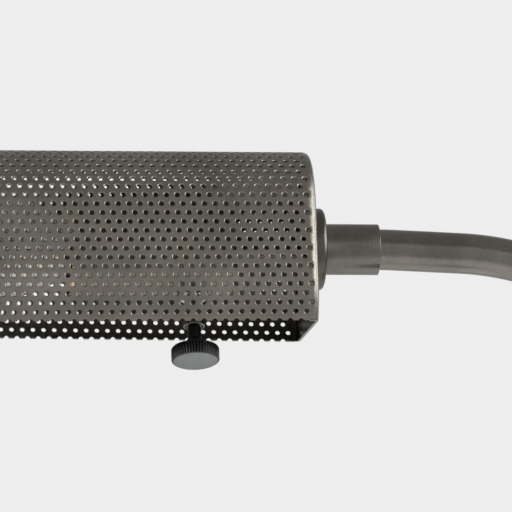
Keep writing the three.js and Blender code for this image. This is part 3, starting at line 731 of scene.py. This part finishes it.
def end_cap(name, bore):
    """A pressed cap with a rounded edge and a flange in the sheet. Its outer face is at X 0."""
    flange = SHEET_WALL + FIT
    inner = flange + CAP_WALL
    seam = -SHEET_MARGIN + CAP_SEAM
    profile = [(-CAP_FLANGE, inner), (-CAP_FLANGE, flange), (seam, flange)]
    first = math.degrees(math.acos((seam + CAP_ROUND) / CAP_ROUND))
    for x, inset in arc(-CAP_ROUND, 0, CAP_ROUND, first, 0, 12):
        profile.append((x, CAP_ROUND - inset))
    face_start = len(profile) - 1
    for x, inset in arc(0, 0, CAP_FILLET, 0, 90, 6):
        profile.append((-CAP_WALL - CAP_FILLET + x, inner + CAP_FILLET - inset))
    face_end = face_start + 1
    rings, points, faces = [], [], []
    for x, inset in profile:
        found = arch_ring(inset)
        rings.append(list(range(len(points), len(points) + len(found))))
        points.extend((x, y, z) for y, z in found)
    count = len(rings[0])
    for k, ring in enumerate(rings):
        if k == face_start:
            continue
        other = rings[(k + 1) % len(rings)]
        for i in range(count - 1):
            faces.append([ring[i], ring[i + 1], other[i + 1], other[i]])
    outer, inside = rings[face_start], rings[face_end]
    for i, way in ((0, 1), (count - 1, -1)):
        order = rings[face_end:] + rings[: face_start + 1]
        faces.append([ring[i] for ring in order][::way])
    if bore:
        holes = []
        for ring, x in ((outer, 0), (inside, -CAP_WALL)):
            hole = []
            for i in ring:
                _, y, z = points[i]
                reach = NIPPLE_BORE / math.hypot(y, z)
                hole.append(len(points))
                points.append((x, y * reach, z * reach))
            holes.append(hole)
            for i in range(count - 1):
                faces.append([ring[i], ring[i + 1], hole[i + 1], hole[i]])
        for i in range(count):
            j = (i + 1) % count
            faces.append([holes[0][i], holes[0][j], holes[1][j], holes[1][i]])
        for ring, hole in ((outer, holes[0]), (inside, holes[1])):
            faces.append([ring[-1], ring[0], hole[0], hole[-1]])
    else:
        faces.append(list(outer))
        faces.append(list(inside))
    faces.append([outer[0], outer[-1], inside[-1], inside[0]])
    turn = Matrix.Identity(4)
    if not bore:
        turn = Matrix.Translation((-SHADE_LENGTH * MM, 0, 0)) @ Matrix.Rotation(math.pi, 4, "Z")
    made = mesh_object(name, points, faces, Matrix.Translation(hub_point) @ turn)

    # The flange's first three rings lie under the sheet. The rings after them show.
    open_start = 3
    # Painted shade: the flange and the cap's inner face take the darker inside colour, while the
    # rounded edge, outer face and bore's outer edge keep the metal's colour.
    painted_shade = [1.0] * len(points)
    painted_shade[open_start * count : face_end * count] = [0.0] * ((face_end - open_start) * count)
    if bore:
        start = len(rings) * count
        painted_shade[start : start + count] = [0.0] * count
    mark_painted_shade(made, painted_shade)
    return made


dress(end_cap("hub_cap_skin", True), "head", "pale_gunmetal", cap_metal, "hub_end_cap")
dress(end_cap("outer_cap_skin", False), "head", "pale_gunmetal", cap_metal, "outer_end_cap")


# Hub disc, arm sleeve and tube

disc_turn, disc_height = HUB_DISC_RADIUS - HUB_DISC_ROUND, HUB_DISC_END - HUB_DISC_ROUND
disc = mesh_object(
    "hub_disc_skin",
    *lathe(
        [
            (NIPPLE_BORE, FIT),
            *arc(HUB_DISC_RADIUS - 0.5, FIT + 0.5, 0.5, -90, 0, 3),
            *arc(disc_turn, disc_height, HUB_DISC_ROUND, 0, 90, 8),
            (NIPPLE_BORE, HUB_DISC_END),
        ],
        128,
    ),
    hub_place,
)
dress(disc, "head", "gunmetal", disc_metal, "hub_disc")

sleeve = mesh_object(
    "arm_sleeve_skin",
    *lathe(
        [
            (NIPPLE_BORE, SLEEVE_START),
            *arc(SLEEVE_RADIUS - 0.5, SLEEVE_START + 0.5, 0.5, -90, 0, 4),
            *arc(SLEEVE_RADIUS - 0.2, SLEEVE_END - 0.2, 0.2, 0, 90, 3),
            (TUBE_RADIUS + FIT + 0.125, SLEEVE_END),
            (TUBE_RADIUS + FIT, SLEEVE_END - 0.2),
            (TUBE_RADIUS + FIT, SLEEVE_START + SLEEVE_FLOOR),
            (NIPPLE_BORE, SLEEVE_START + SLEEVE_FLOOR),
        ],
        96,
    ),
    hub_place,
)
screw_place = axes(hub_point + Vector((SET_SCREW_PLACE * MM, 0, 0)), (0, 1, 0), (1, 0, 0))
drill(sleeve, SET_SCREW_HOLE, 0, 16, screw_place)
dress(sleeve, "stand", "pale_gunmetal", sleeve_metal, "arm_sleeve")


def arm_line():
    """(x, z, dip, distance) along the tube's centre line, from the sleeve down to the base."""
    height = axis_height / MM
    stations = [(TUBE_START, 0, 0)]

    def bend(x, z, radius, start, end, count):
        for dip in steps_between(start, end, count):
            stations.append(
                (
                    x + radius * (math.sin(dip) - math.sin(start)),
                    z - radius * (math.cos(start) - math.cos(dip)),
                    dip,
                )
            )

    bend(SLEEVE_END, 0, DROOP_RADIUS, 0, DROOP, 8)
    x, z, _ = stations[-1]
    x, z = x + DROOP_RUN * math.cos(DROOP), z - DROOP_RUN * math.sin(DROOP)
    bend(x, z, BEND_RADIUS, DROOP, math.pi / 2, 88)
    x, z, _ = stations[-1]
    for level in steps_between(z, TUBE_FOOT - height, 24)[1:]:
        stations.append((x, level, math.pi / 2))
    run, line = 0, []
    for k, (x, z, dip) in enumerate(stations):
        if k:
            run += math.hypot(x - stations[k - 1][0], z - stations[k - 1][1])
        line.append((x, z, dip, run))
    return line


def tube(segments=96):
    points, faces, grain = [], [], []
    line = arm_line()
    for radius in (TUBE_RADIUS, TUBE_RADIUS - TUBE_WALL):
        for x, z, dip, run in line:
            for i in range(segments):
                turn = 2 * math.pi * i / segments
                out, side = radius * math.cos(turn), radius * math.sin(turn)
                points.append((x + out * math.sin(dip), side, z + out * math.cos(dip)))
                grain.append((run * MM, side * MM, out * MM))
    count = len(line)
    for base in (0, count * segments):
        for k in range(count - 1):
            for i in range(segments):
                j = (i + 1) % segments
                low, high = base + k * segments, base + (k + 1) * segments
                faces.append([low + i, low + j, high + j, high + i])
    for low, high in ((0, count), (count - 1, 2 * count - 1)):
        for i in range(segments):
            j = (i + 1) % segments
            a, b = low * segments, high * segments
            faces.append([a + i, a + j, b + j, b + i])
    made = mesh_object("arm_tube_skin", points, faces, Matrix.Translation(hub_point))
    attribute = made.data.attributes.new("grain", "FLOAT_VECTOR", "POINT")
    attribute.data.foreach_set("vector", [c for row in grain for c in row])
    return made


dress(tube(), "stand", "gunmetal", tube_metal, "arm_tube")


# Husk, lampholder and switch

husk_turn, husk_height = HUSK_RADIUS - HUSK_ROUND, HUSK_START + HUSK_ROUND
lip = HUSK_WALL / 2
husk = mesh_object(
    "socket_husk_skin",
    *lathe(
        [
            (NIPPLE_BORE, HUSK_START),
            *arc(husk_turn, husk_height, HUSK_ROUND, -90, 0, 8),
            *arc(HUSK_RADIUS - lip, HUSK_END - lip, lip, 0, 180, 6),
            *arc(husk_turn, husk_height, HUSK_ROUND - HUSK_WALL, 0, -90, 8),
            (NIPPLE_BORE, HUSK_START + HUSK_WALL),
        ],
        128,
    ),
    holder_place,
)
drill(husk, BUSH_BORE, 0, 26, switch_place)
dress(husk, "head", "gunmetal", husk_metal, "socket_husk")

husk_edge = mesh_object(
    "husk_edge_bead",
    *lathe(
        [
            (HUSK_RADIUS - HUSK_WALL - 0.04, HUSK_END - 1.2),
            (HUSK_RADIUS + 0.04, HUSK_END - 1.2),
            *arc(HUSK_RADIUS - 0.3, HUSK_END - 0.3, 0.6, -40, 220, 10),
        ],
        128,
    ),
    holder_place,
)
dress(husk_edge, "head", "brass", brass)

cup = mesh_object(
    "socket_cup_skin",
    *lathe(
        [
            (0, 70.2),
            *arc(17.5, 71.2, 1, -90, 0, 4),
            *arc(17.3, 104, 1.2, 0, 90, 6),
            *arc(15.2, 104.5, 0.7, 90, 180, 4),
            (14.5, 74.2),
            (0, 74.2),
        ],
        96,
        False,
    ),
    holder_place,
)
dress(cup, "head", "porcelain", porcelain, "socket_cup")


def threaded(depth, pitch, low, high, fade):
    """A radius that winds in and out as a screw thread between two heights."""

    def shape(radius, height, angle):
        inside = min(1, max(0, (height - low) / fade), max(0, (high - height) / fade))
        wave = 0.5 + 0.5 * math.cos(2 * math.pi * height / pitch - angle)
        return radius - depth * max(0, inside) * wave

    return shape


shell_rows = steps_between(75.1, 101.9, 60)
shell = mesh_object(
    "screw_shell_skin",
    *lathe(
        [(4.3, 74.5), (14.2, 74.5)]
        + [(14.2, h) for h in shell_rows]
        + [(14.2, 102), (13.6, 102)]
        + [(13.6, h) for h in reversed(shell_rows)]
        + [(4.3, 75.1)],
        80,
        shape=threaded(0.35, THREAD_PITCH, 78, 101, 2),
    ),
    holder_place,
    50,
)
dress(shell, "head", "brass", brass, "screw_shell")

bush_rows = steps_between(15.0, 39.0, 160)
bush = mesh_object(
    "switch_bushing_skin",
    *lathe(
        [(2.4, 13.7), (3.6, 13.7)]
        + [(4.0, h) for h in bush_rows]
        + [(3.7, 39.4), (2.4, 39.4)],
        48,
        shape=threaded(0.4, 0.9, 14, 39.2, 0.6),
    ),
    switch_place,
    80,
)
dress(bush, "head", "dark_metal", bush_metal, "switch_bushing")

collar = mesh_object(
    "bushing_collar_skin",
    *lathe(
        [
            (BUSH_BORE, 37.2),
            *arc(4.6, 37.4, 0.4, -90, 0, 3),
            *arc(4.6, 39.0, 0.4, 0, 90, 3),
            (BUSH_BORE, 39.4),
        ],
        64,
    ),
    switch_place,
)
dress(collar, "head", "bright_rim", rim_metal, "bushing_collar")


def knurled(radius, height, angle):
    if radius < KNOB_RADIUS - 0.45:
        return radius
    groove = abs(math.cos(angle * KNURLS / 2)) ** 3
    return radius - KNURL_DEPTH * groove


flare = [(3.1 + 4.4 * share**1.8, 44.5 + 5.3 * share) for share in steps_between(0, 1, 12)]
knob_points, knob_faces = lathe(
    [
        (0, 39.7),
        *arc(2.8, 40.0, 0.3, -90, 0, 3),
        *flare,
        (7.9, KNOB_START),
        (KNOB_RADIUS - 0.9, KNOB_START),
        (KNOB_RADIUS - 0.45, KNOB_START + 0.2),
        (KNOB_RADIUS, KNOB_START + 0.8),
        (KNOB_RADIUS, KNOB_START + 3.4),
        (KNOB_RADIUS, KNOB_END - 0.6),
        (KNOB_RADIUS - 0.4, KNOB_END - 0.2),
        (KNOB_RADIUS - 0.9, KNOB_END),
        (0, KNOB_END),
    ],
    KNURLS * 8,
    False,
    knurled,
)
knob = mesh_object("switch_knob_skin", knob_points, knob_faces, switch_place, 32)
# Painted shade: the knurled sides and neck take the near-black inside colour, and the bottom face
# keeps the metal's colour.
mark_painted_shade(knob, [0.0 if height > KNOB_END - 0.05 else 1.0 for _, _, height in knob_points])
dress(knob, "knob", "dark_metal", knob_metal, "switch_knob")

nuts = (
    ("husk_ring_nut", (13, BUSH_BORE, 22.8, 25.3), switch_place, steel, "plain_steel"),
    ("cap_lock_nut", (16, NIPPLE_BORE, 1.5, 5.5), holder_place, aged_brass, "brass"),
    ("husk_nut", (16, NIPPLE_BORE, 36.1, 40.1), holder_place, aged_brass, "brass"),
)
for node, sizes, place, material, slot_name in nuts:
    made = mesh_object(f"{node}_skin", *hex_nut(*sizes), place)
    dress(made, "head", slot_name, material, node)


# Bulb


def glass_line(inset, flare=20, globe=24):
    reach = BULB_RADIUS - inset
    centre = BULB_LENGTH - BULB_RADIUS
    neck = NECK_RADIUS - inset
    line = [(neck, NECK_START), (neck, FLARE_START)]
    for share in steps_between(0, 1, flare)[1:]:
        swell = math.sin(share * math.pi / 2) ** 2 * (1 - share / 2) + share**2 / 2
        line.append((neck + (reach - neck) * swell, FLARE_START + (centre - FLARE_START) * share))
    for angle in steps_between(0, math.pi / 2, globe)[1:-1]:
        line.append((reach * math.cos(angle), centre + reach * math.sin(angle)))
    line.append((0, centre + reach))
    return line


bulb = mesh_object(
    "bulb_glass_skin",
    *lathe(glass_line(GLASS_WALL)[::-1] + glass_line(0), 96, False),
    bulb_place,
    60,
)
dress(bulb, "bulb", "clear_glass", clear_glass, "bulb_glass")

cap_rows = steps_between(7, 24.6, 48)
bulb_cap = mesh_object(
    "bulb_cap_skin",
    *lathe(
        [(4.25, 2.1), (4.75, 2.1)]
        + [(13.1, h) for h in cap_rows]
        + [(13.1, 25), (12.6, 25)]
        + [(12.6, h) for h in reversed(cap_rows)]
        + [(4.25, 3.1)],
        80,
        shape=threaded(0.45, THREAD_PITCH, 7.5, 22, 1.5),
    ),
    bulb_place,
    50,
)
dress(bulb_cap, "bulb", "brass", brass, "bulb_cap")


def wire(name, points, thickness, place, material, slot_name, body):
    """A round wire through the given points."""
    curve = bpy.data.curves.new(name, "CURVE")
    curve.dimensions = "3D"
    curve.bevel_depth = thickness / 2 * MM
    curve.bevel_resolution = 3
    spline = curve.splines.new("POLY")
    spline.points.add(len(points) - 1)
    for found, point in zip(spline.points, points):
        found.co = (*(place @ (Vector(point) * MM)), 1)
    drawn = bpy.data.objects.new(name, curve)
    scene.collection.objects.link(drawn)
    bpy.context.view_layer.update()
    graph = bpy.context.evaluated_depsgraph_get()
    mesh = bpy.data.meshes.new_from_object(drawn.evaluated_get(graph))
    bpy.data.objects.remove(drawn)
    made = bpy.data.objects.new(name, mesh)
    mesh.name = name
    scene.collection.objects.link(made)
    mesh.shade_smooth()
    dress(made, body, slot_name, material)


filament = []
for share in steps_between(0, 1, 240):
    sweep = (share - 0.5) * math.radians(250)
    coil = share * COIL_TURNS * 2 * math.pi
    reach = COIL_REACH + COIL_RADIUS * math.cos(coil)
    height = COIL_HEIGHT + COIL_RADIUS * math.sin(coil)
    filament.append((reach * math.cos(sweep), reach * math.sin(sweep), height))
wire("bulb_filament", filament, 0.16, bulb_place, filament_metal, "plain_steel", "bulb")
for k, sweep in enumerate((-125, 125)):
    turn = math.radians(sweep)
    foot = (1.6 * math.cos(turn), 1.6 * math.sin(turn))
    end = (COIL_REACH * math.cos(turn), COIL_REACH * math.sin(turn))
    middle = [(a + b) / 2 for a, b in zip(foot, end)]
    lead = [(*foot, 50), (*foot, 57), (*middle, 61), (*end, COIL_HEIGHT)]
    wire(f"bulb_lead_{k}", lead, 0.5, bulb_place, filament_metal, "plain_steel", "bulb")


# Base

base_turn, base_height = BASE_RADIUS - BASE_ROUND, BASE_TOP - BASE_ROUND
cover = mesh_object(
    "base_cover_skin",
    *lathe(
        [
            (BASE_RADIUS - BASE_WALL, 0.8),
            *arc(BASE_RADIUS - 0.3, 1.1, 0.3, -90, 0, 3),
            *arc(base_turn, base_height, BASE_ROUND, 0, 90, 12),
            (60, BASE_TOP),
            (30, BASE_TOP),
            (STUD_BORE, BASE_TOP),
            (STUD_BORE, BASE_TOP - BASE_WALL),
            *arc(base_turn, base_height, BASE_ROUND - BASE_WALL, 90, 0, 12),
        ],
        192,
    ),
    base_place,
)
drill(cover, INLET_HOLE, 60, 110, inlet_place)
dress(cover, "stand", "gunmetal", base_metal, "base_cover")

foot_ring = mesh_object(
    "post_collar_skin",
    *lathe(
        [
            (TUBE_RADIUS + FIT, TUBE_FOOT),
            *arc(15.7, 17.4, 0.3, -90, 0, 3),
            *arc(14.5, 23.6, 1.5, 0, 90, 8),
            *arc(10.2, 24.7, 0.4, 90, 180, 3),
        ],
        128,
    ),
    base_place,
)
dress(foot_ring, "stand", "pale_gunmetal", collar_metal, "post_collar")

grommet = mesh_object(
    "cord_grommet_skin",
    *lathe(
        [
            (3.2, 98.1),
            (4.7, 98.1),
            (4.7, 101.8),
            *arc(5.8, 102.2, 0.4, -90, 0, 3),
            *arc(5.3, 102.4, 0.9, 0, 90, 5),
            (4.7, 103.3),
            *arc(3.7, 102.8, 0.5, 90, 180, 4),
        ],
        64,
    ),
    inlet_place,
)
dress(grommet, "stand", "rubber", rubber, "cord_grommet")


# CAD nodes that stay

kept = {
    "base_pad": felt,
    "base_weight": cast_iron,
    "post_stud": steel,
    "post_washer": steel,
    "post_nut": steel,
    "arm_set_screw": bush_metal,
    "swivel_nipple": brass,
    "sleeve_stop_nut": steel,
    "sleeve_spring_washer": steel,
    "spacer_tube": dark_steel,
    "switch_body": phenolic,
    "centre_contact": brass,
    "switch_spindle": steel,
    "bulb_tip": brass,
    "bulb_stem": stem_glass,
}
for name, material in kept.items():
    cad[name].data.materials.clear()
    cad[name].data.materials.append(material)


# Floor, background and light


def ray_kinds(tree):
    """Whether a ray is mirrored, and whether it comes from the camera or through glass."""
    path = add(tree, "LightPath").outputs
    inputs = {0: path["Is Camera Ray"], 1: path["Is Transmission Ray"]}
    straight = add(tree, "Math", inputs, operation="MAXIMUM").outputs["Value"]
    return path["Is Glossy Ray"], straight


BACKGROUND = 0.85
PAPER_TINT = (1.0, 0.995, 0.985)
SOFT_LEVEL = 0.62

# The floor is a disc of paper round the point below the hub. Distances are in metres.
FLOOR_REACH, FLOOR_SIDES = 2.45, 96
rim = []
for i in range(FLOOR_SIDES):
    turn = 2 * math.pi * i / FLOOR_SIDES
    rim.append((FLOOR_REACH * math.cos(turn), FLOOR_REACH * math.sin(turn), 0))
floor_mesh = bpy.data.meshes.new("floor")
floor_mesh.from_pydata(rim, [], [list(range(FLOOR_SIDES))])
floor = bpy.data.objects.new("floor", floor_mesh)
floor.location = (hub_point.x, 0, -0.0003)
scene.collection.objects.link(floor)

floor_material = bpy.data.materials.new("floor_paper")
floor_material.use_nodes = True
tree = floor_material.node_tree
tree.nodes.clear()
place = add(tree, "NewGeometry").outputs["Position"]
distance = add(tree, "VectorMath", {0: place}, operation="LENGTH").outputs["Value"]
is_mirrored, is_straight = ray_kinds(tree)

# Near the lamp the paper is partly lit, and further out it fades into the background.
fade = ranged(tree, distance, 0.45, 1.0, 0.3, 2.2)
paper = ranged(tree, noise(tree, place, 240.0, 3.0, 0.5), 0.80, 0.84)
grey = add(tree, "CombineColor", {"Red": paper, "Green": paper, "Blue": paper})
lit = add(tree, "BsdfDiffuse", {"Color": grey.outputs["Color"]})
seen = add(tree, "Emission", {"Color": rgba([BACKGROUND] * 3), "Strength": 1.0})
camera_side = add(tree, "MixShader", {0: fade, 1: lit.outputs[0], 2: seen.outputs[0]})

# Painted reflection: for mirrored rays the paper glows, brighter near the lamp than further out,
# and the metal mirrors that glow.
painted_glow = ranged(tree, distance, 1.35, 0.72, 0.33, 0.55)
mirrored = add(tree, "Emission", {"Color": rgba(PAPER_TINT), "Strength": painted_glow})
first = add(tree, "MixShader", {0: is_straight, 1: lit.outputs[0], 2: camera_side.outputs[0]})
both = add(tree, "MixShader", {0: is_mirrored, 1: first.outputs[0], 2: mirrored.outputs[0]})
end_material(tree, both)
floor_mesh.materials.append(floor_material)

world = bpy.data.worlds.new("studio")
scene.world = world
world.use_nodes = True
tree = world.node_tree
tree.nodes.clear()
way = add(tree, "TexCoord").outputs["Generated"]
height = add(tree, "SeparateXYZ", {"Vector": way}).outputs["Z"]
ramp = add(tree, "ValToRGB", {"Fac": ranged(tree, height, 0.0, 1.0, -1.0, 1.0)})

# What the metal mirrors, from straight below to straight above: (height, brightness).
bands = (
    (0.0, 0.8),
    (0.36, 0.76),
    (0.47, 0.74),
    (0.55, 0.70),
    (0.66, 0.82),
    (0.72, 0.66),
    (0.78, 0.40),
    (0.9, 0.43),
    (1.0, 0.49),
)
while len(ramp.color_ramp.elements) < len(bands):
    ramp.color_ramp.elements.new(0.5)
for element, (where, level) in zip(ramp.color_ramp.elements, bands):
    element.position = where
    element.color = rgba([level * share for share in PAPER_TINT])
is_mirrored, is_straight = ray_kinds(tree)
mirror_or_soft = mixed(tree, is_mirrored, rgba([SOFT_LEVEL] * 3), ramp.outputs["Color"])
shown = mixed(tree, is_straight, mirror_or_soft, rgba([BACKGROUND] * 3))
background = add(tree, "Background", {"Color": shown, "Strength": 1.0})
output = add(tree, "OutputWorld")
tree.links.new(background.outputs[0], output.inputs["Surface"])


def soft_light(name, towards, distance, wide, high, power):
    """A soft rectangular light that shines on the hub from a direction."""
    lamp = bpy.data.lights.new(name, "AREA")
    lamp.shape = "RECTANGLE"
    lamp.size, lamp.size_y = wide, high
    lamp.energy = power
    made = bpy.data.objects.new(name, lamp)
    scene.collection.objects.link(made)
    direction = Vector(towards).normalized()
    made.location = hub_point + direction * distance
    made.rotation_mode = "QUATERNION"
    made.rotation_quaternion = direction.to_track_quat("Z", "Y")
    made.visible_camera = False


soft_light("right_window", (0.88, -0.30, 0.33), 2.0, 2.2, 1.5, 52)
soft_light("front_fill", (-0.35, -0.9, 0.12), 2.4, 1.6, 1.2, 5)


# Camera

VIEW_TURN = math.radians(7.215)
VIEW_RISE = math.radians(8.43)
VIEW_ROLL = math.radians(-0.749)
VIEW_DISTANCE = 4.0
PIXELS_PER_MM = 2.1497
FRAME_PIXELS = 512
HUB_PIXEL = (308.32, 249.40)

forward = Vector(
    (
        math.sin(VIEW_TURN) * math.cos(VIEW_RISE),
        math.cos(VIEW_TURN) * math.cos(VIEW_RISE),
        math.sin(VIEW_RISE),
    )
)
level = Vector((math.cos(VIEW_TURN), -math.sin(VIEW_TURN), 0))
upright = level.cross(forward)
right = level * math.cos(VIEW_ROLL) + upright * math.sin(VIEW_ROLL)
up = upright * math.cos(VIEW_ROLL) - level * math.sin(VIEW_ROLL)
scale = MM / PIXELS_PER_MM
target = hub_point + right * (FRAME_PIXELS / 2 - HUB_PIXEL[0]) * scale
target += up * (HUB_PIXEL[1] - FRAME_PIXELS / 2) * scale
spot = hub_point - forward * VIEW_DISTANCE

camera_data = bpy.data.cameras.new("camera")
camera_data.sensor_width = 36
camera_data.lens = PIXELS_PER_MM * VIEW_DISTANCE / MM * camera_data.sensor_width / FRAME_PIXELS
camera_data.clip_start, camera_data.clip_end = 0.1, 100
camera = bpy.data.objects.new("camera", camera_data)
scene.collection.objects.link(camera)
backward = (spot - target).normalized()
side = up.cross(backward).normalized()
turn = Matrix((side, backward.cross(side), backward)).transposed()
camera.matrix_world = Matrix.Translation(spot) @ turn.to_4x4()
scene.camera = camera

scene.view_settings.view_transform = "Standard"
